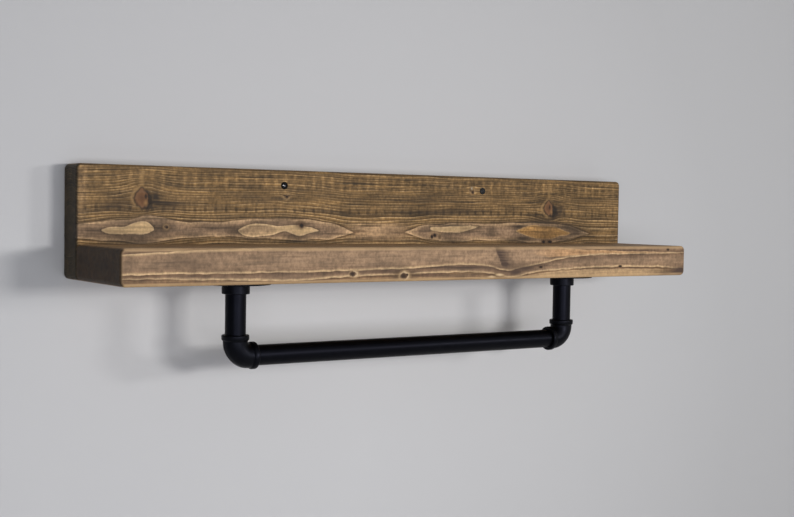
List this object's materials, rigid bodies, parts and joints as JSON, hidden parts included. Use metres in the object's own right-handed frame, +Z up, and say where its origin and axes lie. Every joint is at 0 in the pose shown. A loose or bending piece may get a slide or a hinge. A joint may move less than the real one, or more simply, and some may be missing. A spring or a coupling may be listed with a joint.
{
  "type": "bathroom shelf with towel bar",
  "caption": "Thick stained timber wall shelf with an upright back board and a black pipe towel bar hung below it on floor flanges, drop pipes and banded elbows.",
  "frame": {"origin": "middle of the back board's rear face, on the wall", "axes": "+X along the shelf to the right as seen from the room, +Y into the wall, +Z up"},
  "size_m": [0.914, 0.235, 0.2581],
  "materials": {
    "back_timber": "stained, sanded",
    "shelf_timber": "stained, sanded",
    "black_pipe": "satin black",
    "black_iron": "satin black",
    "black_screw": "black",
    "screw_steel": "zinc"
  },
  "bodies": {
    "root": {"back_board": "back_timber", "shelf_board": "shelf_timber", "joining_screws": "screw_steel", "wall_screws": "black_screw", "left_flange": "black_iron", "right_flange": "black_iron", "left_flange_screws": "black_screw", "right_flange_screws": "black_screw", "left_drop_pipe": "black_pipe", "right_drop_pipe": "black_pipe", "left_elbow": "black_iron", "right_elbow": "black_iron", "towel_bar": "black_pipe"}
  },
  "joints": []
}
